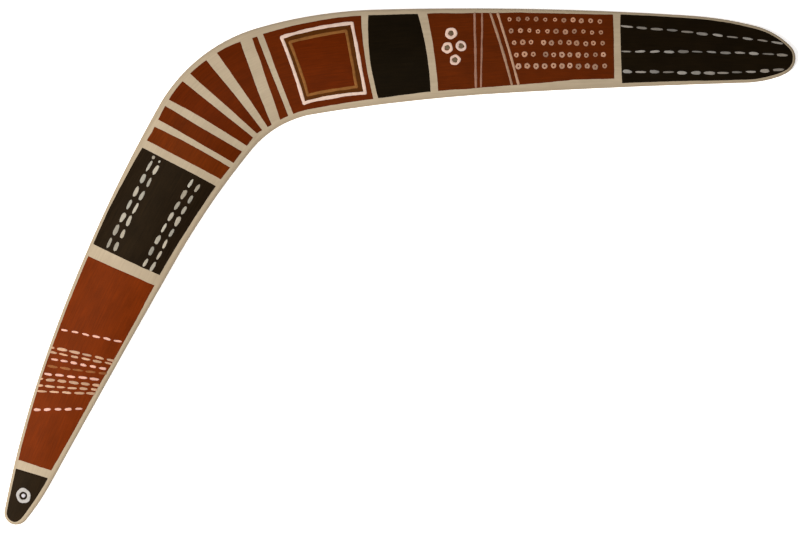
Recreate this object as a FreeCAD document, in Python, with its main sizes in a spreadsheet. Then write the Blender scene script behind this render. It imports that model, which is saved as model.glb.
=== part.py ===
import FreeCAD, Part
import math
import os
import Sketcher
from FreeCAD import Placement, Rotation, Vector

# Painted boomerang: one carved timber blank under hand-brushed coats of paint.
# Millimetres. Z is up through the painted face and z = 0 is the flat underside.
# The origin is the middle of the elbow. Places on the blade are given as a
# station along the centreline (plus = towards the upper tip, minus = towards
# the lower tip) and an offset across it (plus = the outer side of the bend).

os.makedirs("parts", exist_ok=True)
doc = FreeCAD.newDocument("Boomerang")

# ---------------------------------------------------------------- dimensions
SIZES = (
    ("board_thickness", 10.0),   # the board the blank is sawn from
    ("crown_elbow", 8.9),        # timber thickness at the middle of the elbow
    ("crown_knee", 85.0),        # how far the thick part of the elbow reaches
    ("crown_fall_upper", 0.0205),
    ("crown_fall_lower", 0.028),
    ("face_radius", 72.0),       # rounding of the painted face across the blade
    ("top_round", 1.5),
    ("under_round", 0.9),
    ("ground_film", 0.25),
    ("ground_rise", 1.2),        # the ground coat stops this far above the table
    ("field_film", 0.18),
    ("mark_film", 0.22),
    ("border_outer", 3.0),       # cream margins left around the fields
    ("border_inner", 3.2),
    ("border_tip", 1.7),
)
sheet = doc.addObject("Spreadsheet::Sheet", "Dims")
for row, (alias, value) in enumerate(SIZES, 1):
    sheet.set("A%d" % row, alias)
    sheet.set("B%d" % row, "%g" % value)
    sheet.setAlias("B%d" % row, alias)
doc.recompute()
D = dict(SIZES)

# ---------------------------------------------------------------- centreline
HEADING = math.radians(35.6)     # of the blade as it passes through the origin
ELBOW = 81.0                     # radius of the elbow
ELBOW_FROM, ELBOW_TO = -33.0, 41.0
LOWER_ARM, UPPER_ARM = 1230.0, 1420.0


def along(x, y, heading, radius, length):
    """Follow an arc that turns to the right; a negative radius turns left."""
    end = heading - length / radius
    x += radius * (math.sin(heading) - math.sin(end))
    y += radius * (math.cos(end) - math.cos(heading))
    return x, y, end


def centre(s):
    if s > ELBOW_TO:
        return along(*along(0, 0, HEADING, ELBOW, ELBOW_TO), UPPER_ARM, s - ELBOW_TO)
    if s < ELBOW_FROM:
        return along(*along(0, 0, HEADING, ELBOW, ELBOW_FROM), LOWER_ARM, s - ELBOW_FROM)
    return along(0, 0, HEADING, ELBOW, s)


def at(s, v=0.0):
    x, y, h = centre(s)
    return Vector(x - v * math.sin(h), y + v * math.cos(h), 0)


def crown(s):
    """Height of the timber on the centreline."""
    fall = D["crown_fall_upper"] if s > 0 else D["crown_fall_lower"]
    return D["crown_elbow"] - fall * (math.hypot(s, D["crown_knee"]) - D["crown_knee"])


# ------------------------------------------------------------------- outline
# Tangent arcs (radius, degrees turned), clockwise from the outer edge just
# below the elbow; negative radii are the hollow inner edge. One last arc
# closes the loop up the outside of the lower arm.
START = (-43.1, -7.9, math.radians(60.5))
ARCS = (
    (91.0, 44.3), (260.0, 14.7), (1900.0, 5.2), (193.0, 10.7),       # outer edge
    (41.0, 31.6), (9.3, 102.0), (25.0, 14.1),                        # upper tip
    (63.0, 16.2), (-5150.0, 1.4), (-1050.0, 6.1), (-56.0, 41.6),     # inner edge
    (-445.0, 9.5), (-10000.0, 0.8), (143.0, 9.9),
    (6.6, 152.0), (595.0, 8.4),                                      # lower tip
)
OUTER, INNER = (14, 15, 16, 0, 1, 2, 3), (7, 8, 9, 10, 11, 12, 13)


def outline(inset):
    """Start, middle and end of every arc of the outline, moved inwards by inset."""
    x, y, h = START
    run = []
    for radius, turn in ARCS:
        length = abs(radius) * math.radians(turn)
        run.append([(x, y, h), along(x, y, h, radius, length / 2), along(x, y, h, radius, length)])
        x, y, h = run[-1][2]
    chord = math.hypot(START[0] - x, START[1] - y)
    lean = h - math.atan2(START[1] - y, START[0] - x)
    lean = (lean + math.pi) % (2 * math.pi) - math.pi
    radius = chord / (2 * math.sin(lean))
    run.append([(x, y, h), along(x, y, h, radius, radius * lean), START])
    return [[Vector(px + inset * math.sin(ph), py - inset * math.cos(ph), 0)
             for px, py, ph in arc] for arc in run]


def blade_field(outer, inner):
    """The face inside its two margins, each wider or narrower than usual by so much."""
    a, b = outline(D["border_outer"] + outer), outline(D["border_inner"] + inner)
    arcs = [a[i] for i in OUTER[1:]], [b[i] for i in INNER]
    edges = [Part.Arc(*arc).toShape() for arc in arcs[0]]
    edges.append(Part.makeLine(arcs[0][-1][2], arcs[1][0][0]))
    edges += [Part.Arc(*arc).toShape() for arc in arcs[1]]
    edges.append(Part.makeLine(arcs[1][-1][2], arcs[0][0][0]))
    return Part.Face(Part.Wire(edges))


def tip_field():
    """The face inside one even margin all round."""
    return Part.Face(Part.Wire([Part.Arc(*arc).toShape() for arc in outline(D["border_tip"])]))


# ------------------------------------------------------------ carved bodies
def own_plane(body, role):
    return [f for f in body.Origin.OriginFeatures if f.Role == role][0]


def new_sketch(body, label, role, offset=Placement()):
    sketch = body.newObject("Sketcher::SketchObject", label)
    sketch.AttachmentSupport = [(own_plane(body, role), "")]
    sketch.MapMode = "FlatFace"
    sketch.AttachmentOffset = offset
    return sketch


def draw(sketch, edges):
    for edge in edges:
        index = sketch.addGeometry(edge, False)
        sketch.addConstraint(Sketcher.Constraint("Block", index))


SIDE = Placement(Vector(), Rotation(Vector(1, 0, 0), 90))   # how the XZ plane stands
STATIONS = (-300, -262, -215, -165, -115, -70, -33, 0, 41, 80, 130, 185, 240, 290, 335)
REACH = 34.0                                                # sections run past the edges


def carve(name, inset, low, lift, top_round, under_round):
    """A board sawn to the outline, its face rounded down by a loft, edges eased."""
    body = doc.addObject("PartDesign::Body", name)
    plan = new_sketch(body, name + "_plan", "XY_Plane", Placement(Vector(0, 0, low), Rotation()))
    draw(plan, [Part.Arc(*arc) for arc in outline(inset)])
    board = body.newObject("PartDesign::Pad", name + "_board")
    board.Profile = plan
    board.setExpression("Length", "Dims.board_thickness")
    plan.Visibility = False

    sections = []
    for s in STATIONS:
        x, y, h = centre(s)
        across = Vector(-math.sin(h), math.cos(h), 0)
        stand = Placement(FreeCAD.Matrix(across.x, 0, math.cos(h), x,
                                         across.y, 0, math.sin(h), y,
                                         0, 1, 0, 0,
                                         0, 0, 0, 1))
        cut = new_sketch(body, "%s_section_%d" % (name, len(sections)), "XZ_Plane",
                         SIDE.inverse().multiply(stand))
        top = crown(s) + lift
        drop = D["face_radius"] - math.sqrt(D["face_radius"] ** 2 - REACH ** 2)
        left, right = Vector(-REACH, top - drop, 0), Vector(REACH, top - drop, 0)
        roof = D["board_thickness"] + 4
        draw(cut, [Part.Arc(left, Vector(0, top, 0), right),
                   Part.LineSegment(right, Vector(REACH, roof, 0)),
                   Part.LineSegment(Vector(REACH, roof, 0), Vector(-REACH, roof, 0)),
                   Part.LineSegment(Vector(-REACH, roof, 0), left)])
        cut.Visibility = False
        sections.append(cut)
    face = body.newObject("PartDesign::SubtractiveLoft", name + "_face")
    face.Profile = sections[0]
    face.Sections = sections[1:]
    doc.recompute()

    tip = face
    for label, alias, height in ((name + "_top_round", top_round, True),
                                 (name + "_under_round", under_round, False)):
        if not alias:
            continue
        names = []
        for i, edge in enumerate(tip.Shape.Edges, 1):
            box = edge.BoundBox
            flat = box.ZMax < low + 0.01
            upright = box.ZMin < low + 0.01 and not flat
            if (height and not flat and not upright) or (not height and flat):
                names.append("Edge%d" % i)
        ease = body.newObject("PartDesign::Fillet", label)
        ease.Base = (tip, names)
        ease.setExpression("Radius", alias)
        doc.recompute()
        tip = ease
    body.Tip = tip
    body.Label = name
    return body


blank = carve("blank", D["ground_film"], 0.0, 0.0, "Dims.top_round", "Dims.under_round")

shell = carve("ground_shell", 0.0, D["ground_rise"], D["ground_film"],
              "Dims.top_round + Dims.ground_film", None)
ground = doc.addObject("Part::Cut", "ground_coat")
ground.Base, ground.Tool = shell, blank
ground.Label = "ground_coat"
doc.recompute()

# The dried ground coat's broad top face: every later film lies on a piece of it.
skin = max([f for f in shell.Shape.Faces if f.CenterOfMass.z > 4], key=lambda f: f.Area)

nodes = [blank, ground]


# --------------------------------------------------------------- thin films
def prism(flat):
    lifted = flat.copy()
    lifted.translate(Vector(0, 0, -2))
    return lifted.extrude(Vector(0, 0, 20))


def film(name, outlines, thickness, under=None, base=None):
    """Brush one coat: the skin under the flat outlines, raised by its thickness."""
    ground_face = base if base is not None else skin
    faces = []
    for flat in outlines:
        faces += ground_face.common(prism(flat)).Faces
    patch = doc.addObject("Part::Feature", name + "_patch")
    patch.Shape = faces[0] if len(faces) == 1 else Part.makeCompound(faces)
    patch.Visibility = False
    coat = doc.addObject("Part::Extrusion", name)
    coat.Base = patch
    coat.DirMode = "Custom"
    coat.Dir = Vector(0, 0, 1)
    coat.Solid = True
    coat.setExpression("LengthFwd", "Dims." + thickness)
    if under:
        coat.setExpression("Placement.Base.z", "Dims." + under)
    coat.Label = name
    nodes.append(coat)
    return patch


def ray(s, skew):
    """Direction across the blade at a station, turned by skew degrees."""
    h = centre(s)[2] + math.radians(skew)
    return Vector(-math.sin(h), math.cos(h), 0)


def edge_across(s, skew, bow, outwards):
    """A brushed edge across the blade: straight, or bowed along it by bow."""
    reach = 27 if bow else REACH
    a = at(s) + ray(s, skew) * reach
    b = at(s) - ray(s, skew) * reach
    if not outwards:
        a, b = b, a
    if not bow:
        return Part.makeLine(a, b)
    h = centre(s)[2]
    return Part.Arc(a, at(s) + Vector(math.cos(h), math.sin(h), 0) * bow, b).toShape()


def band(lower, upper):
    """Flat strip across the blade between two brushed edges (station, skew, bow)."""
    one, two = edge_across(*lower, True), edge_across(*upper, False)
    joins = [Part.makeLine(one.valueAt(one.LastParameter), two.valueAt(two.FirstParameter)),
             Part.makeLine(two.valueAt(two.LastParameter), one.valueAt(one.FirstParameter))]
    return Part.Face(Part.Wire([one, joins[0], two, joins[1]]))


def disc(middle, radius, hole=0.0):
    flat = Part.Face(Part.Wire(Part.makeCircle(radius, middle)))
    return flat.cut(Part.Face(Part.Wire(Part.makeCircle(hole, middle)))) if hole else flat


def dab(start, end, width):
    """One dab of a loaded brush: an ellipse from start to end."""
    middle, half = (start + end) * 0.5, (end - start) * 0.5
    oval = Part.Ellipse(middle + half, middle + Vector(-half.y, half.x, 0).normalize() * width / 2,
                        middle)
    return Part.Face(Part.Wire(oval.toShape()))


def row_of_dabs(place, count, share, width):
    """Evenly spaced dabs along place(t), t from 0 to 1; share is dab over pitch."""
    step = 1.0 / (count - 1 + share)
    return [dab(place(i * step), place((i + share) * step), width) for i in range(count)]


def quad(corners, bow):
    """Four-sided outline whose two long sides follow the bend of the blade."""
    a, b, c, d = [at(*corner) for corner in corners]
    s, v = [(p + q) / 2 for p, q in zip(corners[0], corners[1])]
    t, w = [(p + q) / 2 for p, q in zip(corners[2], corners[3])]
    return Part.Wire([Part.Arc(a, at(s, v + bow), b).toShape(), Part.makeLine(b, c),
                      Part.Arc(c, at(t, w + bow), d).toShape(), Part.makeLine(d, a)])


def frame(outer, width):
    return Part.Face(outer).cut(Part.Face(outer.makeOffset2D(-width)))


# ------------------------------------------------------------ painted fields
END = (330, 0, 0)
FIELDS = (
    # name, margins (outer, inner; None for an even one), lower and upper edge
    # (station, skew, bow)
    ("field_tip_upper", None, (214.4, 1.8, -0.7), END),
    ("field_red_upper", (-0.6, 1.0), (110.2, 4.2, 1.3), (209.9, 1.2, 0)),
    ("field_black_mid", (-0.1, 0.3), (79.0, 2.0, -2.9), (105.2, 5.1, 2.1)),
    ("field_red_framed", (0.4, 0.0), (24.6, 2.5, 0), (75.0, 3.4, -1.5)),
    ("stripe_thin", (1.5, -0.3), (17.7, -4.2, 0), (21.2, 0.9, 0)),
    ("stripe_fan_1", (0.7, -0.3), (2.7, 0.9, 0.4), (11.4, -6.9, -0.6)),
    ("stripe_fan_2", (0.3, 0.7), (-10.1, 5.5, 0), (-2.8, 1.2, 0.4)),
    ("stripe_fan_3", (0.0, 0.0), (-23.9, 6.8, 0.5), (-14.7, 5.6, 0)),
    ("stripe_fan_4", (0.4, -0.1), (-36.1, 1.2, 0.3), (-28.0, 4.0, -0.3)),
    ("stripe_fan_5", (0.9, -0.2), (-48.4, 2.7, 0.4), (-40.2, 2.6, 0.9)),
    ("field_black_lower", (-0.8, -0.1), (-111.0, 2.6, -0.5), (-53.1, 2.5, 0.3)),
    ("field_red_lower", (-1.2, -0.6), (-234.8, 3.7, 0), (-118.1, 3.2, 0)),
    ("field_tip_lower", None, (-290, 0, 0), (-240.2, 4.4, 0.5)),
)
patches = {}
for name, margins, lower, upper in FIELDS:
    inside = blade_field(*margins) if margins else tip_field()
    patches[name] = film(name, [inside.common(band(lower, upper))], "field_film").Shape


def mark(name, field, outlines):
    film(name, outlines, "mark_film", "field_film", patches[field])


# ------------------------------------------------------- marks on the fields
# Three rows of dabs that close in towards the upper tip.
def tip_row(start, end, v0, v1, bend):
    return lambda t: at(start + (end - start) * t, v0 + (v1 - v0) * t ** bend)


mark("dabs_tip_upper", "field_tip_upper",
     row_of_dabs(tip_row(213.8, 302.5, 11.7, 5.6, 1), 11, 0.72, 1.7)
     + row_of_dabs(tip_row(213.8, 305.5, -2.4, -0.5, 1), 12, 0.73, 1.6)
     + row_of_dabs(tip_row(214.6, 304.0, -13.2, -8.6, 3.5), 12, 0.74, 1.8))

# Five rows of eleven small stamped rings; two rows skip half a place.
small_rings = []
for r in range(5):
    skip = 0.5 if r in (2, 3) else 0.0
    for c in range(11):
        t = (c + (skip if c > 2 else 0)) / (10 + skip)
        s = 153.2 + 1.1 * r + (49.2 - 0.5 * r) * t
        small_rings.append(disc(at(s, 16.5 - 6.55 * r - (2.1 - 0.35 * r) * t), 1.45, 0.45))
mark("rings_small", "field_red_upper", small_rings)

# Four larger rings in a cluster with dull centres.
CLUSTER = ((121.3, 10.2, 3.4), (118.8, 2.4, 3.2), (126.4, 2.8, 3.0), (122.6, -4.6, 3.0))
mark("rings_cluster", "field_red_upper", [disc(at(s, v), r, 1.45) for s, v, r in CLUSTER])
mark("ring_centres", "field_red_upper", [disc(at(s, v), 1.35) for s, v, r in CLUSTER])

# Two pairs of thin lines, one leaning and one nearly square across.
mark("lines_leaning", "field_red_upper",
     [band((s - 0.7, skew, bow), (s + 0.7, skew, bow))
      for s, skew, bow in ((148.0, 14.5, 0.6), (151.9, 14.3, 0.4))])
mark("lines_square", "field_red_upper",
     [band((s - w, skew, 0), (s + w, skew, 0)) for s, skew, w in ((134.0, -1.7, 0.7), (137.5, -3.6, 0.55))])

# White frame, dark line, ochre frame inside it, and the redder square that fills it.
WHITE = quad(((30.4, 17.6), (69.0, 20.9), (72.8, -19.8), (35.0, -22.0)), 0.8)
OCHRE = quad(((33.8, 14.1), (65.4, 16.8), (68.2, -16.0), (38.9, -17.8)), 0.4)
mark("frame_white", "field_red_framed", [frame(WHITE, 1.9)])
mark("frame_dark", "field_red_framed",
     [Part.Face(WHITE.makeOffset2D(-1.9)).cut(Part.Face(OCHRE))])
mark("frame_ochre", "field_red_framed", [frame(OCHRE, 1.7)])
mark("frame_infill", "field_red_framed", [Part.Face(OCHRE.makeOffset2D(-1.8))])

# Two pairs of long dab columns down the lower black field.
columns = [dab(at(-54.4, 14.0), at(-56.5, 14.0), 1.6), dab(at(-54.9, 10.2), at(-56.4, 10.2), 1.1)]
for v0, v1, s0, count in ((13.7, 12.4, -57.3, 7), (9.7, 8.1, -57.6, 7),
                          (-10.7, -9.6, -54.8, 8), (-15.2, -14.2, -55.3, 8)):
    columns += row_of_dabs(lambda t: at(s0 - (110.6 + s0) * t, v0 + (v1 - v0) * t), count, 0.76, 2.25)
mark("dabs_black_lower", "field_black_lower", columns)


# Rows of dabs across the lower red field: (station, lean towards the tip, reach
# on the outer side, reach on the inner side, count, dab over pitch, dab width).
# The tan rows run on under the margins, so their end dabs are cut short.
def across_row(s, lean, outer, inner, count, share, width):
    def place(t):
        v = outer - (outer + inner) * t
        return at(s - lean * v / 15, v)
    return row_of_dabs(place, count, share, width)


mark("dabs_white_lower", "field_red_lower",
     across_row(-157.4, 3.6, 15.7, 17.4, 6, 0.67, 1.4) + across_row(-174.5, 3.7, 13.7, 16.0, 6, 0.71, 1.5)
     + across_row(-182.3, 5.0, 14.0, 14.7, 5, 0.76, 1.4) + across_row(-202.0, 6.9, 11.2, 13.0, 5, 0.68, 1.5))
mark("dabs_tan_lower", "field_red_lower",
     across_row(-168.6, 3.3, 19.6, 19.7, 6, 0.80, 1.5) + across_row(-171.0, 3.6, 16.9, 18.3, 6, 0.77, 1.3)
     + across_row(-185.6, 4.7, 18.0, 17.6, 6, 0.80, 1.5) + across_row(-188.9, 5.3, 16.5, 17.5, 6, 0.80, 1.4)
     + across_row(-191.8, 5.8, 13.9, 17.3, 5, 0.83, 1.3))
mark("dabs_ochre_lower", "field_red_lower", across_row(-178.1, 4.5, 14.0, 18.5, 5, 0.80, 1.5))

# Round mark on the lower tip: a broad ring and a small dot.
ROUNDEL = at(-252.6, -1.4)
mark("roundel_ring", "field_tip_lower", [disc(ROUNDEL, 4.1, 2.1)])
mark("roundel_dot", "field_tip_lower", [disc(ROUNDEL, 1.1)])

# ------------------------------------------------------------------- checking
doc.recompute()
faults = []
for thing in doc.Objects:
    state = " ".join(thing.State)
    if "Invalid" in state or "Error" in state:
        faults.append("%s: %s" % (thing.Label, state))
for node in nodes:
    shape = node.Shape
    if shape.isNull() or not shape.isValid() or not shape.Solids or shape.Volume <= 0:
        faults.append("%s: bad shape" % node.Label)
if faults:
    raise RuntimeError("; ".join(faults))

for node in nodes:
    shape = node.Shape
    shape.exportStep("parts/%s.step" % node.Label)
    box = shape.BoundBox
    print("%-20s %3d solids %10.1f mm3  z %.2f..%.2f" % (
        node.Label, len(shape.Solids), shape.Volume, box.ZMin, box.ZMax))
whole = Part.makeCompound([n.Shape for n in nodes]).BoundBox
print("%d nodes, %.1f x %.1f x %.1f mm" % (len(nodes), whole.XLength, whole.YLength, whole.ZLength))
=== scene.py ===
import math
import bpy
import numpy as np
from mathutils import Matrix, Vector


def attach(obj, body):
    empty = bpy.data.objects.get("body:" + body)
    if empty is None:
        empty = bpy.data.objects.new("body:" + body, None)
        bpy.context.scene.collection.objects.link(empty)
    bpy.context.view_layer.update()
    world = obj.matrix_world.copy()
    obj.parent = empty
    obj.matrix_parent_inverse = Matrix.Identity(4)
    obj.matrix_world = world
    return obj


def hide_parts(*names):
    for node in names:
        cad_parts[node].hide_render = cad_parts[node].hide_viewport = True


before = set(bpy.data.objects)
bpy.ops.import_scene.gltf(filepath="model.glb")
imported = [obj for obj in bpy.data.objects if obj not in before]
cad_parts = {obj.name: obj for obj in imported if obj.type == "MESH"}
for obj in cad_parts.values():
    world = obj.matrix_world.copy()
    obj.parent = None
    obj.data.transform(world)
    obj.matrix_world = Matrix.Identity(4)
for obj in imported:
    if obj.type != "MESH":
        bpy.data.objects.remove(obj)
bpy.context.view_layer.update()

# Sizes are in millimetres until a mesh is made. Places on the blade are a
# station s along the centreline and an offset v across it, as in the CAD part.
MM = 0.001

# ------------------------------------------------------------- the blade
# The centreline is an elbow arc through the origin, between the arms' flatter arcs.
# These values were fitted to the blade, as in the CAD part.
HEADING = math.radians(35.6)
ELBOW, ELBOW_FROM, ELBOW_TO = 81.0, -33.0, 41.0
LOWER_ARM, UPPER_ARM = 1230.0, 1420.0
ELBOW_THICKNESS = 8.9
FACE_RADIUS = 72.0
COAT = 0.25


def along(x, y, heading, radius, length):
    """Where an arc of this radius, turning clockwise, has got to after this length."""
    end = heading - length / radius
    return (x + radius * (np.sin(heading) - np.sin(end)),
            y + radius * (np.cos(end) - np.cos(heading)), end)


UP = along(0.0, 0.0, HEADING, ELBOW, ELBOW_TO)
DOWN = along(0.0, 0.0, HEADING, ELBOW, ELBOW_FROM)


def centre(s):
    """Plan point and heading of the centreline at a station."""
    s = np.asarray(s, float)
    mid = along(0.0, 0.0, HEADING, ELBOW, s)
    up = along(*UP, UPPER_ARM, s - ELBOW_TO)
    down = along(*DOWN, LOWER_ARM, s - ELBOW_FROM)
    return [np.where(s > ELBOW_TO, u, np.where(s < ELBOW_FROM, d, m))
            for u, m, d in zip(up, mid, down)]


def at(s, v):
    """Plan point at a station and offset."""
    x, y, h = centre(s)
    return x - v * np.sin(h), y + v * np.cos(h)


def blade(x, y):
    """Station and offset of plan points."""
    found = []
    starts = ((0.0, 0.0, HEADING), UP, DOWN)
    for (px, py, h), radius in zip(starts, (ELBOW, UPPER_ARM, LOWER_ARM)):
        dx = x - (px + radius * math.sin(h))
        dy = y - (py - radius * math.cos(h))
        found.append((radius * (h - np.arctan2(-dx, dy)), np.hypot(dx, dy) - radius))
    s, v = found[0]
    upper, lower = s > ELBOW_TO, s < ELBOW_FROM
    s = np.where(upper, found[1][0] + ELBOW_TO, np.where(lower, found[2][0] + ELBOW_FROM, s))
    v = np.where(upper, found[1][1], np.where(lower, found[2][1], v))
    return s, v


def crown(s):
    """Thickness of the timber along the middle, falling towards both tips."""
    fall = np.where(s > 0, 0.0205, 0.028)
    return ELBOW_THICKNESS - fall * (np.hypot(s, 85.0) - 85.0)


# ---------------------------------------------------------------- chance
CELLS = 128
TABLES = [np.random.default_rng(i).uniform(-1, 1, (CELLS, CELLS)) for i in range(24)]


def noise(x, y, seed):
    """Smooth random height, about -1 to 1, features one unit wide."""
    grid = TABLES[seed % len(TABLES)]
    x, y = np.asarray(x, float) + 37.3 * seed, np.asarray(y, float) + 11.7 * seed
    ix, iy = np.floor(x).astype(int), np.floor(y).astype(int)
    fx, fy = x - ix, y - iy
    fx, fy = fx * fx * (3 - 2 * fx), fy * fy * (3 - 2 * fy)
    left, right, low, high = ix % CELLS, (ix + 1) % CELLS, iy % CELLS, (iy + 1) % CELLS
    a, b = grid[left, low], grid[right, low]
    c, d = grid[left, high], grid[right, high]
    return (a * (1 - fx) + b * fx) * (1 - fy) + (c * (1 - fx) + d * fx) * fy


def waver(t, seed, slow=0.13, fast=0.05):
    """How far a hand-drawn edge strays."""
    return (slow * noise(t / 11.0, 0 * t + 0.5, seed)
            + 0.5 * slow * noise(t / 4.5, 0 * t + 3.5, seed)
            + fast * noise(t / 1.1, 0 * t + 7.5, seed))


def relief(x, y):
    """The ground coat's unevenness: slow waves from the rasp, ridges from the brush."""
    s, v = blade(x, y)
    return (0.07 * noise(s / 21, v / 9, 1) + 0.03 * noise(s / 7, v / 4, 2)
            + 0.012 * noise(s / 9, v / 0.9, 3))


def face(x, y):
    """Height of the dried ground coat."""
    s, v = blade(x, y)
    return crown(s) - (FACE_RADIUS - np.sqrt(FACE_RADIUS ** 2 - v * v)) + COAT + relief(x, y)


# --------------------------------------------------------------- outline
# Tangent arcs (radius, degrees turned) from a point and heading on the outer edge.
# A last arc closes the loop. All of them were fitted, as in the CAD part.
START = (-43.1, -7.9, math.radians(60.5))
ARCS = ((91.0, 44.3), (260.0, 14.7), (1900.0, 5.2), (193.0, 10.7),
        (41.0, 31.6), (9.3, 102.0), (25.0, 14.1),
        (63.0, 16.2), (-5150.0, 1.4), (-1050.0, 6.1), (-56.0, 41.6),
        (-445.0, 9.5), (-10000.0, 0.8), (143.0, 9.9), (6.6, 152.0), (595.0, 8.4))


def outline(inset, step=0.5):
    """Points round the blade, clockwise, moved inwards by inset."""
    x, y, h = START
    arcs = []
    for radius, turn in ARCS:
        length = abs(radius) * math.radians(turn)
        arcs.append((x, y, h, radius, length))
        x, y, h = along(x, y, h, radius, length)
    chord = math.hypot(START[0] - x, START[1] - y)
    lean = h - math.atan2(START[1] - y, START[0] - x)
    lean = (lean + math.pi) % (2 * math.pi) - math.pi
    radius = chord / (2 * math.sin(lean))
    arcs.append((x, y, h, radius, 2 * radius * lean))
    points = []
    for x, y, h, radius, length in arcs:
        d = np.arange(0, length, min(step, abs(radius) / 12))
        px, py, ph = along(x, y, h, radius, d)
        points.append(np.stack([px + inset * np.sin(ph), py - inset * np.cos(ph)], 1))
    return np.concatenate(points)


def edges_of(inset):
    """Station and offset along the outer edge, then along the inner edge."""
    s, v = blade(*outline(inset).T)
    low, high = int(np.argmin(s)), int(np.argmax(s))
    n = len(s)
    up = np.arange(low, low + (high - low) % n + 1) % n
    back = np.arange(high, high + (low - high) % n + 1)[::-1] % n
    return [(np.maximum.accumulate(s[i]), v[i]) for i in (up, back)]


# Measured width of cream left at the outer and the inner edge: (station, margin).
OUTER_MARGIN = ((-240, 1.5), (-200, 1.55), (-130, 1.75), (-90, 1.7), (-73, 2.3),
                (-58, 2.85), (-44, 3.6), (-20, 2.8), (6, 3.5), (18, 4.25), (34, 3.55),
                (62, 2.95), (100, 2.75), (130, 2.6), (160, 2.15), (212, 1.7))
INNER_MARGIN = ((-240, 2.8), (-205, 2.6), (-150, 2.35), (-120, 2.95), (-104, 3.4), (-75, 3.0),
                (-32, 3.2), (-20, 3.1), (-7, 3.8), (6, 2.8), (20, 2.75), (35, 2.95), (55, 3.2),
                (84, 3.5), (102, 3.7), (128, 3.6), (160, 3.9), (188, 5.1), (210, 4.7))
OUTER_EDGE, INNER_EDGE = edges_of(0.0)


def arm_limits(s):
    """Inner and outer offset of the painted fields along both arms."""
    low = np.interp(s, *INNER_EDGE) + np.interp(s, *zip(*INNER_MARGIN))
    high = np.interp(s, *OUTER_EDGE) - np.interp(s, *zip(*OUTER_MARGIN))
    return low + waver(s, 11), high - waver(s, 12)


arm_limits.ends = (-260.0, 300.0)


def tip_limits(s):
    """The same inside the margin round the tips, wider on the lower tip's inner side."""
    low, high = np.interp(s, *TIP_INNER), np.interp(s, *TIP_OUTER)
    fade = np.clip((high - low) / 8, 0, 1)
    wider = np.where(s < 0, 0.95, 0.55 * np.clip((275 - s) / 40, 0, 1))
    return low + fade * (waver(s, 13) + wider), high - fade * (waver(s, 14) - 0.1)


def ends_of(outer, inner):
    """The stations between which both edges are known."""
    return max(outer[0][0], inner[0][0]), min(outer[0][-1], inner[0][-1])


TIP_OUTER, TIP_INNER = edges_of(1.5)
tip_limits.ends = ends_of(TIP_OUTER, TIP_INNER)


# ---------------------------------------------------------- mesh building
def make(name, points, faces, slot, replaces, tone=None, tint=None):
    """A mesh piece from points in mm. The map holds station and offset in cm."""
    points = np.asarray(points, float)
    mesh = bpy.data.meshes.new(name)
    mesh.from_pydata((points * MM).tolist(), [], faces)
    uv = np.stack(blade(points[:, 0], points[:, 1]), 1)
    layer = mesh.uv_layers.new(name="blade")
    index = np.empty(len(mesh.loops), np.int32)
    mesh.loops.foreach_get("vertex_index", index)
    layer.data.foreach_set("uv", (uv[index] * 0.1).astype(np.float32).ravel())
    if tone is not None:
        attribute = mesh.attributes.new("tone", "FLOAT", "POINT")
        attribute.data.foreach_set("value", np.asarray(tone, np.float32))
    if tint is not None:
        attribute = mesh.attributes.new("tint", "FLOAT_COLOR", "POINT")
        rgba = np.hstack([tint, np.ones((len(points), 1))])
        attribute.data.foreach_set("color", rgba.astype(np.float32).ravel())
    mesh.polygons.foreach_set("use_smooth", np.ones(len(mesh.polygons), bool))
    mesh.update()
    piece = bpy.data.objects.new(name, mesh)
    bpy.context.scene.collection.objects.link(piece)
    mesh.materials.append(MATERIALS[slot])
    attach(piece, "root")
    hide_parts(*replaces)
    return piece


def lattice(rows, cols, first=0, wrap=False):
    """Quads over a grid of points numbered row by row."""
    quads = []
    for i in range(rows - 1):
        for j in range(cols if wrap else cols - 1):
            k = (j + 1) % cols
            a, b = first + i * cols, first + (i + 1) * cols
            quads.append((a + j, a + k, b + k, b + j))
    return quads


def end_packed(low, high, step):
    """Stations from end to end, close together at both rounded tips."""
    packed = 12.0
    near = packed * (np.arange(1, 27) / 26.0) ** 2
    count = int((high - low - 2 * packed) / step)
    middle = np.linspace(low + packed, high - packed, count)[1:-1]
    return np.concatenate([low + near, middle, (high - near)[::-1]])


def rim_loop(rows, cols):
    """Grid indices round the border, along the outer edge first."""
    return ([i * cols + cols - 1 for i in range(rows)]
            + [(rows - 1) * cols + j for j in range(cols - 2, 0, -1)]
            + [i * cols for i in range(rows - 1, -1, -1)]
            + list(range(1, cols - 1)))


def blade_grid(inset, step, cols):
    """Rows of points across the whole blade, inside its edge by inset."""
    outer, inner = edges_of(inset)
    s = end_packed(*ends_of(outer, inner), step)
    low, high = np.interp(s, *inner), np.interp(s, *outer)
    b = np.linspace(0, 1, cols)
    v = low[:, None] + (high - low)[:, None] * b
    s = np.repeat(s[:, None], cols, 1)
    x, y = at(s, v)
    return x, y, s, v


def nearest(points, target):
    """For each point, the closest point of a dense loop."""
    out = np.empty_like(points)
    for i in range(0, len(points), 200):
        d = ((points[i:i + 200, None] - target[None]) ** 2).sum(2)
        out[i:i + 200] = target[d.argmin(1)]
    return out


# --------------------------------------------------------------- materials
# Colours are scene-linear. The blade map is in centimetres along and across.
def new_material(name):
    material = bpy.data.materials.new(name)
    material.use_nodes = True
    nodes, links = material.node_tree.nodes, material.node_tree.links
    return material, nodes, links, nodes["Principled BSDF"]


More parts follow.
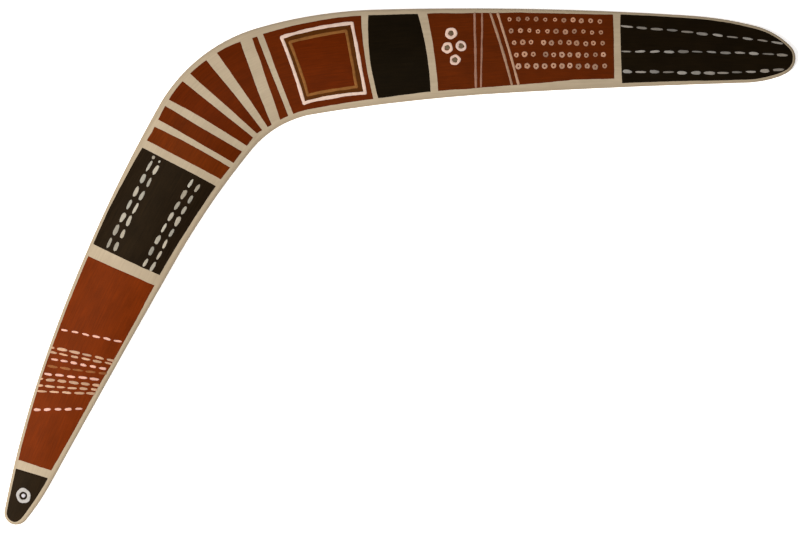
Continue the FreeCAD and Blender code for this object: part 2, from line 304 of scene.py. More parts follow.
def stretched_noise(nodes, links, scale, size, detail=4.0, rough=0.55):
    """Noise over the blade map, scaled differently along and across."""
    uv = nodes.new("ShaderNodeUVMap")
    uv.uv_map = "blade"
    mapping = nodes.new("ShaderNodeMapping")
    mapping.inputs["Scale"].default_value = (*scale, 1)
    tex = nodes.new("ShaderNodeTexNoise")
    tex.inputs["Scale"].default_value = size
    tex.inputs["Detail"].default_value = detail
    tex.inputs["Roughness"].default_value = rough
    links.new(uv.outputs["UV"], mapping.inputs["Vector"])
    links.new(mapping.outputs["Vector"], tex.inputs["Vector"])
    return tex.outputs["Fac"]


def ramp(nodes, links, fac, stops):
    """A colour ramp over a value, from (position, colour) stops."""
    node = nodes.new("ShaderNodeValToRGB")
    elements = node.color_ramp.elements
    while len(elements) < len(stops):
        elements.new(0.5)
    for element, (position, color) in zip(elements, stops):
        element.position = position
        element.color = (*color, 1)
    links.new(fac, node.inputs["Fac"])
    return node.outputs["Color"]


def blend(nodes, links, fac, one, two, mode="MIX"):
    """Two colours mixed; each input is a socket or a constant."""
    node = nodes.new("ShaderNodeMix")
    node.data_type = "RGBA"
    node.blend_type = mode
    if hasattr(fac, "is_linked"):
        links.new(fac, node.inputs["Factor"])
    else:
        node.inputs["Factor"].default_value = fac
    for socket, value in ((node.inputs[6], one), (node.inputs[7], two)):
        if hasattr(value, "is_linked"):
            links.new(value, socket)
        else:
            socket.default_value = (*value, 1)
    return node.outputs[2]


def relief_bump(nodes, links, layers, normal):
    """Stack of bumps: (height, strength, distance in mm)."""
    last = None
    for height, strength, distance in layers:
        bump = nodes.new("ShaderNodeBump")
        bump.inputs["Strength"].default_value = strength
        bump.inputs["Distance"].default_value = distance * MM
        links.new(height, bump.inputs["Height"])
        if last is not None:
            links.new(last, bump.inputs["Normal"])
        last = bump.outputs["Normal"]
    links.new(last, normal)


def shade(color, k, warm=0.0):
    """A colour made k times as bright and a little warmer."""
    return (color[0] * k * (1 + warm), color[1] * k, color[2] * k * (1 - warm))


def set_sheen(nodes, links, shader, fac, roughness):
    """Roughness that follows a value between two limits."""
    sheen = nodes.new("ShaderNodeMapRange")
    sheen.inputs["To Min"].default_value = roughness[0]
    sheen.inputs["To Max"].default_value = roughness[1]
    links.new(fac, sheen.inputs["Value"])
    links.new(sheen.outputs["Result"], shader.inputs["Roughness"])


def paint(name, color, along_stroke=(0.5, 9.0), spread=0.16, roughness=(0.50, 0.62), grip=0.5):
    """Brushed matt paint: bristle streaks, mottled cover, uneven sheen."""
    material, nodes, links, shader = new_material(name)
    streak = stretched_noise(nodes, links, along_stroke, 1.6, 5.0)
    mottle = stretched_noise(nodes, links, (0.8, 1.1), 0.9, 3.0)
    speck = stretched_noise(nodes, links, (1, 1), 26.0, 2.0, 0.7)
    tint = ramp(nodes, links, streak, ((0.30, shade(color, 1 - spread)), (0.52, color),
                                       (0.72, shade(color, 1 + spread, 0.02))))
    cloud = ramp(nodes, links, mottle, ((0.32, (1 - spread, 1 - spread, 1 - spread)),
                                        (0.68, (1 + spread * 0.6,) * 3)))
    body = blend(nodes, links, 0.8, tint, cloud, "MULTIPLY")
    load = nodes.new("ShaderNodeAttribute")
    load.attribute_name = "tint"
    body = blend(nodes, links, 1.0, body, load.outputs["Color"], "MULTIPLY")
    links.new(body, shader.inputs["Base Color"])
    set_sheen(nodes, links, shader, streak, roughness)
    shader.inputs["Specular IOR Level"].default_value = 0.04
    shader.inputs["Specular Tint"].default_value = (1.0, 0.80, 0.55, 1)
    relief_bump(nodes, links, ((streak, grip, 0.10), (speck, 0.35, 0.03)), shader.inputs["Normal"])
    return material


def timber(name):
    """Oiled board: growth lines running with the blade, fibres and dark pores."""
    material, nodes, links, shader = new_material(name)
    ring = stretched_noise(nodes, links, (0.035, 1.3), 2.2, 3.0, 0.5)
    fibre = stretched_noise(nodes, links, (0.25, 16.0), 2.4, 5.0, 0.6)
    pore = stretched_noise(nodes, links, (1.3, 26.0), 3.0, 2.0, 0.6)
    warm = ramp(nodes, links, ring, ((0.25, (0.20, 0.100, 0.042)), (0.42, (0.36, 0.195, 0.088)),
                                     (0.55, (0.43, 0.250, 0.120)), (0.66, (0.29, 0.150, 0.064)),
                                     (0.80, (0.40, 0.225, 0.105))))
    fine = ramp(nodes, links, fibre, ((0.30, (0.70, 0.66, 0.62)), (0.65, (1.12, 1.12, 1.12))))
    dark = ramp(nodes, links, pore, ((0.30, (0.45, 0.40, 0.36)), (0.42, (1, 1, 1))))
    body = blend(nodes, links, 0.85, warm, fine, "MULTIPLY")
    body = blend(nodes, links, 0.6, body, dark, "MULTIPLY")
    links.new(body, shader.inputs["Base Color"])
    set_sheen(nodes, links, shader, fibre, (0.38, 0.60))
    relief_bump(nodes, links, ((fibre, 0.5, 0.08), (pore, 0.5, 0.10)), shader.inputs["Normal"])
    return material


def ground_paint(name):
    """Cream coat, patchily darker towards and round the edge: a painted shade where the face turns from the
    light.
    """
    material, nodes, links, shader = new_material(name)
    # The second colour is a painted shade, mixed in towards and round the edge.
    cream, shaded_cream = (0.334, 0.263, 0.178), (0.240, 0.183, 0.118)
    streak = stretched_noise(nodes, links, (0.4, 7.0), 1.5, 5.0)
    mottle = stretched_noise(nodes, links, (0.7, 1.0), 0.8, 4.0)
    speck = stretched_noise(nodes, links, (1, 1), 22.0, 3.0, 0.7)
    tint = ramp(nodes, links, streak, ((0.28, shade(cream, 0.90)), (0.55, cream),
                                       (0.75, shade(cream, 1.07))))
    cloud = ramp(nodes, links, mottle, ((0.30, (0.90, 0.89, 0.87)), (0.70, (1.05, 1.05, 1.05))))
    body = blend(nodes, links, 0.85, tint, cloud, "MULTIPLY")
    # Painted shade: the edge mask, broken up by the mottle, darkens the cream.
    edge = nodes.new("ShaderNodeAttribute")
    edge.attribute_name = "tone"
    patchy_shade = nodes.new("ShaderNodeMath")
    patchy_shade.operation = "MULTIPLY"
    links.new(edge.outputs["Fac"], patchy_shade.inputs[0])
    links.new(mottle, patchy_shade.inputs[1])
    edge_shade = ramp(nodes, links, patchy_shade.outputs[0], ((0.12, (0, 0, 0)), (0.75, (1, 1, 1))))
    body = blend(nodes, links, edge_shade, body, shaded_cream)
    links.new(body, shader.inputs["Base Color"])
    set_sheen(nodes, links, shader, streak, (0.52, 0.72))
    shader.inputs["Specular IOR Level"].default_value = 0.12
    relief_bump(nodes, links, ((streak, 0.5, 0.10), (speck, 0.4, 0.04)), shader.inputs["Normal"])
    return material


GLOSSIER = (0.46, 0.58)
MATERIALS = {
    "timber": timber("oiled_timber"),
    "cream_paint": ground_paint("cream_ground"),
    "red_paint": paint("red_ochre", (0.080, 0.0107, 0.0005)),
    "infill_paint": paint("red_second_coat", (0.081, 0.0100, 0.0001), roughness=GLOSSIER),
    "brown_paint": paint("dark_brown", (0.060, 0.0165, 0.0018)),
    "black_paint": paint("warm_black", (0.0045, 0.0026, 0.0009), spread=0.3, roughness=GLOSSIER),
    "white_paint": paint("off_white", (0.54, 0.37, 0.295), (3, 3), 0.10, grip=0.3),
    "tan_paint": paint("pink_tan", (0.40, 0.225, 0.145), (3, 3), 0.12, grip=0.3),
    "stone_paint": paint("grey_cream", (0.33, 0.285, 0.23), (3, 3), 0.10, grip=0.3),
    "ochre_paint": paint("yellow_ochre", (0.178, 0.070, 0.018), (2, 4), 0.16, grip=0.4),
    "olive_paint": paint("grey_olive", (0.115, 0.078, 0.045), (3, 3), 0.2, grip=0.3),
}


# ------------------------------------------------- timber blank, ground coat
def band(previous, now, outwards=False):
    """Quads between two closed loops of equally many points."""
    turned = zip(previous, previous[1:] + previous[:1], now[1:] + now[:1], now)
    return [(a, d, c, b) if outwards else (a, b, c, d) for a, b, c, d in turned]


def build_blank():
    """Flat back with a slight hollow, rounded lower edge, wall and hidden top."""
    x, y, s, v = blade_grid(1.15, 1.6, 33)
    rows, cols = x.shape
    hollow = 0.10 + 0.10 * noise(s / 26, v / 10, 5) - 0.05 * np.abs(noise(s / 40, v / 7, 6))
    hollow *= np.clip(1 - (np.abs(v) / 30) ** 4, 0, 1)
    under = np.stack([x, y, np.clip(hollow, 0, 0.3)], 2).reshape(-1, 3)
    top = np.stack([x, y, face(x, y) - 0.45], 2).reshape(-1, 3)
    quads = [q[::-1] for q in lattice(rows, cols)]
    points = [under]
    loop = rim_loop(rows, cols)
    wall = nearest(under[loop][:, :2], outline(COAT))
    inner = under[loop][:, :2]
    previous = loop
    count = len(under)
    profile = [(math.sin(a), 0.9 * (1 - math.cos(a))) for a in np.linspace(0.26, math.pi / 2, 5)]
    profile += [(1.0, 1.6), (1.0, 2.0)]
    for out, z in profile:
        ring = inner + (wall - inner) * out
        rise = np.full((len(loop), 1), z)
        points.append(np.hstack([ring, rise]))
        now = list(range(count, count + len(loop)))
        count += len(loop)
        quads += band(previous, now)
        previous = now
    points.append(top)
    quads += lattice(rows, cols, count)
    quads += band(previous, [count + i for i in loop])
    return make("blank_timber", np.concatenate(points), quads, "timber", ["blank"])


def build_ground():
    """Cream coat over the face, round the eased edge and down to an uneven hem."""
    x, y, s, v = blade_grid(1.3, 0.8, 65)
    rows, cols = x.shape
    z = face(x, y)
    points = [np.stack([x, y, z], 2).reshape(-1, 3)]
    quads = lattice(rows, cols)
    width = np.repeat((v[:, -1] - v[:, 0])[:, None], cols, 1)
    b = np.linspace(0, 1, cols)[None, :]
    gap = width * np.minimum(b, 1 - b)
    # Painted shade: the face darkens over its last 2.2 mm before the edge.
    tone = [np.clip(1 - gap / 2.2, 0, 1).ravel() * 0.5]
    loop = rim_loop(rows, cols)
    base = points[0][loop]
    edge = nearest(base[:, :2], outline(0.0, 0.25))
    _, offset = blade(base[:, 0], base[:, 1])
    tilt = np.arcsin(np.clip(np.abs(offset) / FACE_RADIUS, 0, 0.4))
    reach = np.hypot(*(edge - base[:, :2]).T)
    radius = reach / (1 - np.sin(tilt))
    t = np.arange(len(loop)) * 0.8
    shoulder = base[:, 2] - radius * np.cos(tilt)
    hem = 1.15 + 0.35 * noise(t / 9, 0 * t, 8) + 0.12 * noise(t / 2, 0 * t, 9)
    hem = np.minimum(hem, shoulder - 0.3)
    previous, count = loop, len(points[0])
    rings = []
    # Painted shade round the rounded edge: darkest where it turns down, a little less down to the hem.
    for k in range(1, 8):
        turn = tilt + (math.pi / 2 - tilt) * k / 7
        share = (np.sin(turn) - np.sin(tilt)) / (1 - np.sin(tilt))
        rings.append((share, base[:, 2] - radius * (np.cos(tilt) - np.cos(turn)), 0.5 + 0.5 * k / 7))
    bulge = 1 + 0.03 * noise(t / 6, 0 * t, 10)
    rings += [(bulge, shoulder * 0.6 + hem * 0.4, 0.9), (bulge, hem + 0.12, 0.8),
              (0.95 * bulge, hem, 0.8), (0 * t + 0.72, hem + 0.10, 0.8)]
    for share, height, edge_shade in rings:
        ring = base[:, :2] + (edge - base[:, :2]) * np.asarray(share)[:, None]
        points.append(np.hstack([ring, np.asarray(height)[:, None]]))
        tone.append(np.full(len(loop), edge_shade))
        now = list(range(count, count + len(loop)))
        count += len(loop)
        quads += band(previous, now, outwards=True)
        previous = now
    return make("ground_coat_paint", np.concatenate(points), quads, "cream_paint",
                ["ground_coat"], tone=np.concatenate(tone))


# ----------------------------------------------------------- painted fields
def edge_line(s, skew, bow):
    """Station of a brushed edge as a function of offset."""
    x, y, h = [float(c) for c in centre(s)]
    lean = h + math.radians(skew)
    t = np.linspace(-34, 34, 69)
    bulge = bow * (1 - (t / 27) ** 2)
    px = x - t * math.sin(lean) + bulge * math.cos(h)
    py = y + t * math.cos(lean) + bulge * math.sin(h)
    ss, vv = blade(px, py)
    order = np.argsort(vv)
    return vv[order], ss[order]


def spaced(length, step):
    """Shares from 0 to 1, close together at both ends for a soft paint edge."""
    near = np.array([0.0, 0.10, 0.22, 0.38, 0.60])
    middle = np.linspace(0.9, length - 0.9, max(3, int(length / step)))
    return np.concatenate([near, middle, (length - near)[::-1]]) / length


FILM = 0.13
# A field's rolled edge starts under the ground's ridges, so this much of it is hidden.
HIDDEN = 0.18


def film_height(x, y, depth, seed, thick=FILM):
    """A brushed film: rolled edge, thin ridges, height over the ground coat."""
    s, v = blade(x, y)
    rise = np.clip(depth / 0.35, 0, 1)
    rise = rise * rise * (3 - 2 * rise)
    bead = 0.035 * np.exp(-((depth - 0.5) / 0.3) ** 2)
    ridges = 0.016 * noise(s / 10, v / 0.7, seed) + 0.02 * noise(s / 12, v / 5, seed + 1)
    return face(x, y) - 0.03 + (thick + 0.03 + ridges) * rise + bead * rise


def build_field(name, slot, limits, lower, upper, seed, trim=0.0, tint=(1, 1, 1)):
    """Paint between two edge lines and the margins, or round a tip."""
    (v0, s0), (v1, s1) = edge_line(*lower), edge_line(*upper)
    tip = limits.ends
    middle_low, middle_high = np.interp(0, v0, s0), np.interp(0, v1, s1)
    length = min(middle_high, tip[1]) - max(middle_low, tip[0])
    low, high = limits(np.array([(max(middle_low, tip[0]) + min(middle_high, tip[1])) / 2]))
    a, b = spaced(length, 0.75), spaced(float(high[0] - low[0]), 0.75)
    if middle_high > tip[1] or middle_low < tip[0]:
        c = np.linspace(0, 1, len(a))
        if middle_high > tip[1]:
            a = 1 - (1 - c) ** 2 * (1 + c * 0.6)
        else:
            a = c ** 2 * (1 + (1 - c) * 0.6)
    v = np.zeros((len(a), len(b)))
    for _ in range(4):
        lo = np.interp(v, v0, s0) + waver(v + 40, seed) - HIDDEN
        hi = np.interp(v, v1, s1) + waver(v + 80, seed + 1) + HIDDEN
        lo, hi = np.maximum(lo, tip[0]), np.minimum(hi, tip[1])
        s = lo + (hi - lo) * a[:, None]
        inner, outer = limits(s)
        v = inner + trim * 0.3 + (outer - trim - inner) * b[None, :]
    x, y = at(s, v)
    wide, long = outer - inner, hi - lo
    depth = np.minimum(np.minimum(b, 1 - b)[None, :] * wide, np.minimum(a, 1 - a)[:, None] * long)
    z = film_height(x, y, depth, seed)
    points = np.stack([x, y, z], 2).reshape(-1, 3)
    return make(name + "_paint", points, lattice(*x.shape), slot, [name],
                tint=np.tile(tint, (len(points), 1)))


# On the lower arm the paint is lighter and less saturated: partly thinner paint, partly a painted sheen.
THIN_AND_SHEEN_RED, THIN_AND_SHEEN_BLACK = (1.40, 1.42, 2.0), (2.15, 2.0, 2.3)
# Each edge is (station, skew in degrees, bow in mm), fitted to the painted edge.
FIELDS = (
    ("field_tip_upper", "black_paint", tip_limits, (214.4, 1.8, -0.7), (340, 0, 0), (1.12, 1.03, 0.9)),
    ("field_red_upper", "red_paint", arm_limits, (110.2, 4.2, 1.3), (209.9, 1.2, 0), (0.93, 1, 1)),
    ("field_black_mid", "black_paint", arm_limits, (79.0, 2.0, -2.9), (105.2, 5.1, 2.1), (0.85, 0.82, 0.7)),
    ("field_red_framed", "red_paint", arm_limits, (24.6, 2.5, 0), (75.0, 3.4, -1.5), (1, 1, 1)),
    ("stripe_thin", "red_paint", arm_limits, (17.7, -4.2, 0), (21.2, 0.9, 0), (1, 1, 1)),
    ("stripe_fan_1", "red_paint", arm_limits, (2.7, 0.9, 0.4), (11.4, -6.9, -0.6), (0.92, 0.88, 0.6)),
    ("stripe_fan_2", "red_paint", arm_limits, (-10.1, 5.5, 0), (-2.8, 1.2, 0.4), (0.94, 0.9, 0.6)),
    ("stripe_fan_3", "red_paint", arm_limits, (-23.9, 6.8, 0.5), (-14.7, 5.6, 0), (0.97, 0.9, 0.6)),
    ("stripe_fan_4", "red_paint", arm_limits, (-36.1, 1.2, 0.3), (-28.0, 4.0, -0.3), (0.96, 0.99, 0.8)),
    # Partly a painted sheen: this stripe next to the lower arm is made lighter and less saturated too.
    ("stripe_fan_5", "red_paint", arm_limits, (-48.4, 2.7, 0.4), (-40.2, 2.6, 0.9), (1.17, 1.36, 1.8)),
    ("field_black_lower", "black_paint", arm_limits, (-111.0, 2.6, -0.5), (-53.1, 2.5, 0.3), THIN_AND_SHEEN_BLACK),
    ("field_red_lower", "red_paint", arm_limits, (-234.8, 3.7, 0), (-118.1, 3.2, 0), THIN_AND_SHEEN_RED),
    ("field_tip_lower", "black_paint", tip_limits, (-310, 0, 0), (-240.2, 4.4, 0.5), THIN_AND_SHEEN_BLACK),
)


# ------------------------------------------------------------------- marks
class Marks:
    """Collects the strokes of one node into one mesh."""

    def __init__(self, seed, tint=(1, 1, 1), spread=0.13, limits=None):
        self.rng = np.random.default_rng(seed)
        self.base, self.spread, self.limits = np.array(tint, float), spread, limits
        self.points, self.quads, self.tints, self.count = [], [], [], 0

    def add(self, x, y, lift, wrap, tint=None):
        """A grid of points, each row an outline at one depth into the stroke."""
        if self.limits:
            s, v = blade(x, y)
            low, high = self.limits(s)
            x, y = at(s, np.clip(v, low - 0.15, high + 0.15))
        z = face(x, y) + FILM + lift
        rows, cols = x.shape
        self.points.append(np.stack([x, y, z], 2).reshape(-1, 3))
        self.quads += lattice(rows, cols, self.count, wrap)
        if tint is None:
            tint = self.mixed()
        self.tints.append(np.tile(tint, (rows * cols, 1)))
        self.count += rows * cols

    def mixed(self):
        """Each stroke comes off the brush a little lighter, darker or warmer."""
        load, warm = self.rng.uniform(-self.spread, self.spread), self.rng.uniform(-0.04, 0.04)
        return self.base * (1 + load) * np.array([1 + warm, 1, 1 - warm])

    def dab(self, start, end, width, thick=0.20, stray=0.2, thinnest=0.80):
        """A touch of a loaded brush, fuller where it lands."""
        (x0, y0), (x1, y1) = start, end
        r = self.rng
        length = math.hypot(x1 - x0, y1 - y0) * r.uniform(0.90, 1.14)
        turn = math.atan2(y1 - y0, x1 - x0) + math.radians(r.uniform(-4, 4))
        cx = (x0 + x1) / 2 + r.uniform(-stray, stray)
        cy = (y0 + y1) / 2 + r.uniform(-stray, stray)
        width = width * r.uniform(thinnest, 1.16)
        a = np.linspace(0, 2 * math.pi, 28, endpoint=False)
        ex = np.sign(np.cos(a)) * np.abs(np.cos(a)) ** 0.80 * length / 2
        ey = np.sign(np.sin(a)) * np.abs(np.sin(a)) ** 0.92 * width / 2
        ey = ey * (1 + r.uniform(-0.18, 0.18) * np.cos(a))
        rough = 1 + sum(r.uniform(-0.04, 0.04) * np.sin(k * a + r.uniform(0, 6.3))
                        for k in (2, 3, 5, 7))
        shares = np.array([0.0, 0.35, 0.62, 0.80, 0.92, 1.0])[:, None]
        lift = np.array([0.82, 0.88, 1.0, 0.92, 0.55, -0.3])[:, None] * thick
        lift = lift * (1 + 0.15 * np.cos(a))
        px, py = ex * rough * shares, ey * rough * shares
        x = cx + px * math.cos(turn) - py * math.sin(turn)
        y = cy + px * math.sin(turn) + py * math.cos(turn)
        self.add(x, y, lift, True)

    def ring(self, centre_point, outer, inner, thick=0.20, stray=0.15):
        """A stamped ring: the paint squeezes up round both edges."""
        r = self.rng
        cx, cy = [c + r.uniform(-stray, stray) for c in centre_point]
        a = np.linspace(0, 2 * math.pi, 36, endpoint=False)

        def edge(radius, k):
            return radius * (1 + sum(r.uniform(-k, k) * np.sin(j * a + r.uniform(0, 6.3))
                                     for j in (1, 2, 3, 5)))
        out, hole = edge(outer, 0.05), edge(inner, 0.09) if inner else 0 * a
        shares = np.array([0.0, 0.14, 0.32, 0.60, 0.82, 0.94, 1.0])[:, None]
        pressed = [-0.3, 0.6, 0.95, 0.85, 1.0, 0.6, -0.3]
        filled = [0.8, 0.82, 0.88, 1, 0.9, 0.55, -0.3]
        rad = hole + (out - hole) * shares
        lift = np.array(pressed if inner else filled)[:, None] * thick + 0 * a
        self.add(cx + rad * np.cos(a), cy + rad * np.sin(a), lift, True)

    def line(self, path, width, thick=0.15, stray=0.12, seed=0):
        """A drawn line along a path of points, its width unsteady."""
        path = np.asarray(path, float)
        d = np.gradient(path, axis=0)
        d /= np.hypot(*d.T)[:, None]
        normal = np.stack([-d[:, 1], d[:, 0]], 1)
        run = np.concatenate([[0], np.cumsum(np.hypot(*np.diff(path, axis=0).T))])
        half = width / 2 * (1 + 0.16 * noise(run / 4, 0 * run, seed)
                            + 0.07 * noise(run / 1.2, 0 * run, seed + 1))
        sway = stray * noise(run / 7, 0 * run, seed + 2)
        half = half * np.clip(np.minimum(run, run[-1] - run) / 0.5 + 0.45, 0, 1)
        across = np.array([-1.0, -0.82, -0.5, 0.0, 0.5, 0.82, 1.0])
        height = np.array([-0.3, 0.6, 1.0, 0.85, 1.0, 0.6, -0.3]) * thick
        off = sway[:, None] + half[:, None] * across[None, :]
        x = path[:, 0, None] + normal[:, 0, None] * off
        y = path[:, 1, None] + normal[:, 1, None] * off
        self.add(x, y, height[None, :] + 0 * x, False, self.base)

    def patch(self, one, two, thick):
        """Paint that fills the space between two paths of equally many points."""
        one, two = np.asarray(one, float), np.asarray(two, float)
        long = np.hypot(*(one[-1] - one[0]))
        wide = np.hypot(*(two - one).T).mean()
        a, b = spaced(long, 0.8)[:, None, None], spaced(wide, 0.8)[None, :, None]
        t = np.linspace(0, 1, len(one))
        one, two = [np.stack([np.interp(a[:, 0, 0], t, side[:, k]) for k in (0, 1)], 1)[:, None, :]
                    for side in (one, two)]
        p = one * (1 - b) + two * b
        depth = np.minimum(np.minimum(a, 1 - a) * long, np.minimum(b, 1 - b) * wide)[:, :, 0]
        lift = np.clip(depth / 0.35, 0, 1) * (thick + 0.03) - 0.03
        self.add(p[:, :, 0], p[:, :, 1], lift, False, self.base)

    def build(self, name, slot):
        """The piece of one mesh that holds every stroke so far."""
        return make(name + "_paint", np.concatenate(self.points), self.quads, slot, [name],
                    tint=np.concatenate(self.tints))


def row(marks, place, count, share, width, **how):
    """Evenly spaced dabs along place(0) to place(1), each share of a space long."""
    step = 1.0 / (count - 1 + share)
    for i in range(count):
        marks.dab(place(i * step), place((i + share) * step), width, **how)


def point(s, v):
    x, y = at(s, v)
    return float(x), float(y)


def tip_row(start, end, v0, v1, bend):
    """A line between two stations whose offset goes from v0 to v1."""
    return lambda t: point(start + (end - start) * t, v0 + (v1 - v0) * t ** bend)


def build_tip_dabs():
    m = Marks(101, (0.60, 0.62, 0.67), 0.34, tip_limits)
    row(m, tip_row(213.8, 302.5, 11.7, 5.6, 1), 11, 0.74, 1.6, thinnest=0.55)
    row(m, tip_row(213.8, 305.5, -2.4, -0.5, 1), 12, 0.76, 1.55, thinnest=0.45)
    row(m, tip_row(214.6, 304.0, -13.2, -8.6, 3.5), 12, 0.76, 1.75, thinnest=0.6)
    m.build("dabs_tip_upper", "stone_paint")


def build_small_rings():
    m = Marks(102, spread=0.30)
    for r in range(5):
        skip = 0.5 if r in (2, 3) else 0.0
        m.base = np.array((0.79, 0.72 + 0.02 * r, 0.68 + 0.035 * r))
        for c in range(11):
            t = (c + (skip if c > 2 else 0)) / (10 + skip)
            s = 153.2 + 1.1 * r + (49.2 - 0.5 * r) * t
            size = 1.28 + 0.05 * r + m.rng.uniform(-0.18, 0.20)
            m.ring(point(s, 16.5 - 6.55 * r - (2.1 - 0.35 * r) * t), size, m.rng.uniform(0.28, 0.46),
                   stray=0.3)
    m.build("rings_small", "tan_paint")


# Larger rings: station, offset, outer radius.
CLUSTER = ((121.3, 10.2, 3.3), (118.8, 2.4, 3.1), (126.4, 2.8, 2.95), (122.6, -4.6, 2.95))


def build_cluster():
    m, c = Marks(103, (1.0, 1.05, 1.08), 0.04), Marks(104)
    for s, v, radius in CLUSTER:
        m.ring(point(s, v), radius, 1.4, thick=0.26, stray=0.1)
        c.ring(point(s, v), 1.35, 0, thick=0.10, stray=0.1)
    m.build("rings_cluster", "white_paint")
    c.build("ring_centres", "olive_paint")


def build_lines():
    m = Marks(105)
    for k, (s, skew, bow) in enumerate(((148.0, 14.5, 0.6), (151.9, 14.3, 0.4))):
        m.base = np.array((0.73, 0.77, 0.77)) * (0.90, 1.18)[k]
        m.line(cross(*edge_line(s, skew, bow)), 1.4, seed=30 + 3 * k)
    m.build("lines_leaning", "tan_paint")
    m = Marks(106, (0.58, 0.53, 0.56))
    for k, (s, skew, width) in enumerate(((134.0, -1.7, 1.35), (137.5, -3.6, 1.05))):
        m.line(cross(*edge_line(s, skew, 0)), width, seed=40 + 3 * k)
    m.build("lines_square", "tan_paint")


def cross(vv, ss):
    """Points of a line across the red field, from margin to margin."""
    inner, outer = arm_limits(np.array([np.interp(v, vv, ss) for v in (-20, 20)]))
    v = np.linspace(float(inner[0]), float(outer[1]), 90)
    x, y = at(np.interp(v, vv, ss), v)
    return np.stack([x, y], 1)


# Outer corners of the two square frames: station, offset.
WHITE = ((30.4, 17.6), (69.0, 20.9), (72.8, -19.8), (35.0, -22.0))
OCHRE = ((33.8, 14.1), (65.4, 16.8), (68.2, -16.0), (38.9, -17.8))


def sides(corners, bow, inset):
    """The four sides of a square whose long sides follow the blade, moved inwards."""
    out = []
    for i in range(4):
        (s0, v0), (s1, v1) = corners[i], corners[(i + 1) % 4]
        t = np.linspace(0, 1, 61)
        x, y = at(s0 + (s1 - s0) * t, v0 + (v1 - v0) * t + (bow * 4 * t * (1 - t) if i % 2 == 0 else 0))
        path = np.stack([x, y], 1)
        d = path[-1] - path[0]
        d /= np.hypot(*d)
        shift = np.array([d[1], -d[0]]) * inset
        path = path + shift
        trim = inset / np.hypot(*(path[-1] - path[0]))
        u = np.linspace(trim, 1 - trim, 61)
        out.append(np.stack([np.interp(u, t, path[:, k]) for k in (0, 1)], 1))
    return out


def frame_strokes(m, corners, bow, width, seed):
    """Four strokes that run a little into one another at the corners."""
    for i, path in enumerate(sides(corners, bow, width / 2)):
        d = path[-1] - path[0]
        d *= width * 0.40 / np.hypot(*d)
        path = np.vstack([path[:1] - d, path, path[-1:] + d])
        m.line(path, width, seed=seed + 3 * i, thick=0.17 + 0.015 * i)


def build_frames():
    m = Marks(107, (0.97, 1.04, 1.07))
    frame_strokes(m, WHITE, 0.8, 1.9, 50)
    m.build("frame_white", "white_paint")
    m = Marks(108)
    frame_strokes(m, OCHRE, 0.4, 1.7, 62)
    m.build("frame_ochre", "ochre_paint")
    m = Marks(109)
    for one, two in zip(sides(WHITE, 0.8, 1.6), sides(OCHRE, 0.4, 0.2)):
        m.patch(one, two, thick=0.04)
    m.build("frame_dark", "brown_paint")
    m = Marks(110)
    top, _, bottom, _ = sides(OCHRE, 0.4, 1.5)
    m.patch(top, bottom[::-1], thick=0.08)
    m.build("frame_infill", "infill_paint")


def build_lower_dabs():
    m = Marks(111, (0.87, 0.90, 0.89), 0.26)
    m.dab(point(-54.4, 14.0), point(-56.5, 14.0), 1.6)
    m.dab(point(-54.9, 10.2), point(-56.4, 10.2), 1.1)
    for v0, v1, s0, count in ((13.7, 12.4, -57.3, 7), (9.7, 8.1, -57.6, 7),
                              (-10.7, -9.6, -54.8, 8), (-15.2, -14.2, -55.3, 8)):
        row(m, tip_row(s0, -110.6, v0, v1, 1), count, 0.77, 2.2, thinnest=0.68)
    m.build("dabs_black_lower", "stone_paint")


def across_row(m, s, lean, outer, inner, count, share, width, **how):
    """A leaning row of dabs from the outer offset to the inner one."""
    def place(t):
        v = outer - (outer + inner) * t
        return point(s - lean * v / 15, v)
    row(m, place, count, share, width, stray=0.12, **how)


def build_red_dabs():
    m = Marks(112, (1.01, 0.82, 0.79), 0.10, arm_limits)
    for args in ((-157.4, 3.6, 15.7, 17.4, 6, 0.67, 1.4), (-174.5, 3.7, 13.7, 16.0, 6, 0.71, 1.5),
                 (-182.3, 5.0, 14.0, 14.7, 5, 0.76, 1.4), (-202.0, 6.9, 11.2, 13.0, 5, 0.68, 1.5)):
        across_row(m, *args)
    m.build("dabs_white_lower", "white_paint")
    m = Marks(113, (1.0, 1.06, 1.03), 0.18, arm_limits)
    for args in ((-168.6, 3.3, 19.6, 19.7, 6, 0.80, 1.5), (-171.0, 3.6, 16.9, 18.3, 6, 0.77, 1.3),
                 (-185.6, 4.7, 18.0, 17.6, 6, 0.80, 1.5), (-188.9, 5.3, 16.5, 17.5, 6, 0.80, 1.4),
                 (-191.8, 5.8, 13.9, 17.3, 5, 0.83, 1.3)):
        across_row(m, *args, thick=0.15)
    m.build("dabs_tan_lower", "tan_paint")
    m = Marks(114, (1.15, 1.02, 1.3), 0.14, arm_limits)
    across_row(m, -178.1, 4.5, 14.0, 18.5, 5, 0.80, 1.5, thick=0.15)
    m.build("dabs_ochre_lower", "ochre_paint")


def build_roundel():
    middle = point(-252.7, -1.05)
    m = Marks(115, (0.63, 0.87, 1.03), 0)
    m.ring(middle, 4.1, 2.1, thick=0.24, stray=0)
    m.build("roundel_ring", "white_paint")
    m = Marks(116, (0.85, 1.14, 1.47), 0)
    m.ring(middle, 1.1, 0, thick=0.24, stray=0)
    m.build("roundel_dot", "white_paint")


build_blank()
build_ground()
for number, (name, slot, limits, lower, upper, tint) in enumerate(FIELDS):
    trim = 0.4 if name == "stripe_thin" else 0.0
    build_field(name, slot, limits, lower, upper, 2 * number + 1, trim, tint)
build_tip_dabs()
build_small_rings()
build_cluster()
build_lines()
build_frames()
build_lower_dabs()
build_red_dabs()
build_roundel()


# ------------------------------------------------------------ floor, light
MIDDLE = (0.05, -0.07, 0)


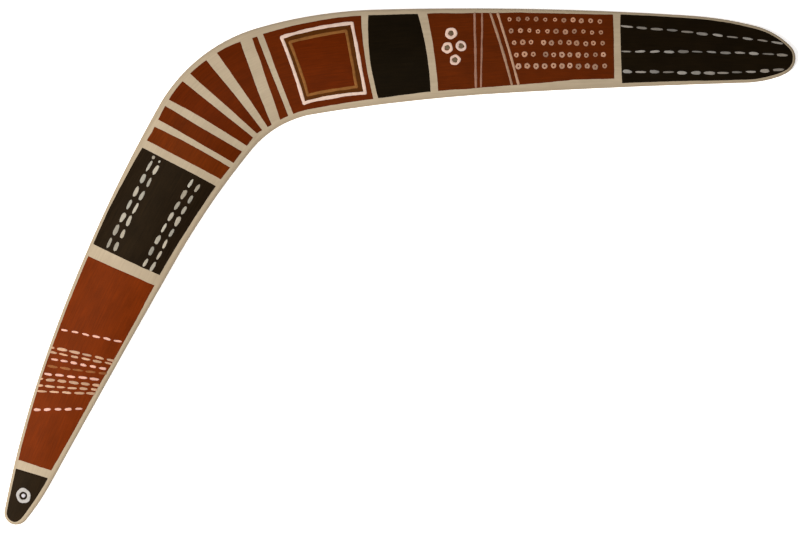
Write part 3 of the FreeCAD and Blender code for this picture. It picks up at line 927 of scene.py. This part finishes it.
def floor():
    """A pale sheet, lit a little from within so that it stays white round the part."""
    mesh = bpy.data.meshes.new("floor")
    mesh.from_pydata([(-4, -4, 0), (4, -4, 0), (4, 4, 0), (-4, 4, 0)], [], [(0, 1, 2, 3)])
    sheet = bpy.data.objects.new("floor", mesh)
    sheet.location.z = -0.0001
    bpy.context.scene.collection.objects.link(sheet)
    material, nodes, links, shader = new_material("pale_floor")
    shader.inputs["Base Color"].default_value = (0.93, 0.93, 0.93, 1)
    shader.inputs["Emission Color"].default_value = (1, 1, 1, 1)
    shader.inputs["Emission Strength"].default_value = 0.6
    shader.inputs["Roughness"].default_value = 0.9
    shader.inputs["Specular IOR Level"].default_value = 0.1
    mesh.materials.append(material)


def soft_light(name, place, size, watts, color=(1, 1, 1)):
    """A round soft box aimed at the middle of the part."""
    data = bpy.data.lights.new(name, "AREA")
    data.shape = "DISK"
    data.size = size
    data.energy = watts
    data.color = color
    lamp = bpy.data.objects.new(name, data)
    lamp.location = place
    aim = np.array(MIDDLE) - np.array(place)
    lamp.rotation_euler = Vector(aim).to_track_quat("-Z", "Y").to_euler()
    bpy.context.scene.collection.objects.link(lamp)


floor()
soft_light("key", (-0.43, -0.33, 0.95), 0.6, 15.0, (1.0, 0.99, 0.97))
soft_light("fill_left", (-0.62, -0.38, 0.70), 0.7, 4.0)
soft_light("fill_right", (0.77, -0.24, 0.70), 0.7, 0.5)
soft_light("fill_high", (0.05, 0.75, 0.85), 0.8, 2.5)
world = bpy.data.worlds.new("studio")
bpy.context.scene.world = world
world.use_nodes = True
background = world.node_tree.nodes["Background"]
background.inputs["Color"].default_value = (1, 1, 1, 1)
background.inputs["Strength"].default_value = 0.12

camera_data = bpy.data.cameras.new("camera")
camera_data.sensor_width = 36.0
camera_data.lens = 205.22
camera = bpy.data.objects.new("camera", camera_data)
camera.location = (0.08925, -0.09745, 2.505)
camera.rotation_euler = (0, 0, 0)
bpy.context.scene.collection.objects.link(camera)
bpy.context.scene.camera = camera
bpy.context.scene.view_settings.view_transform = "Standard"
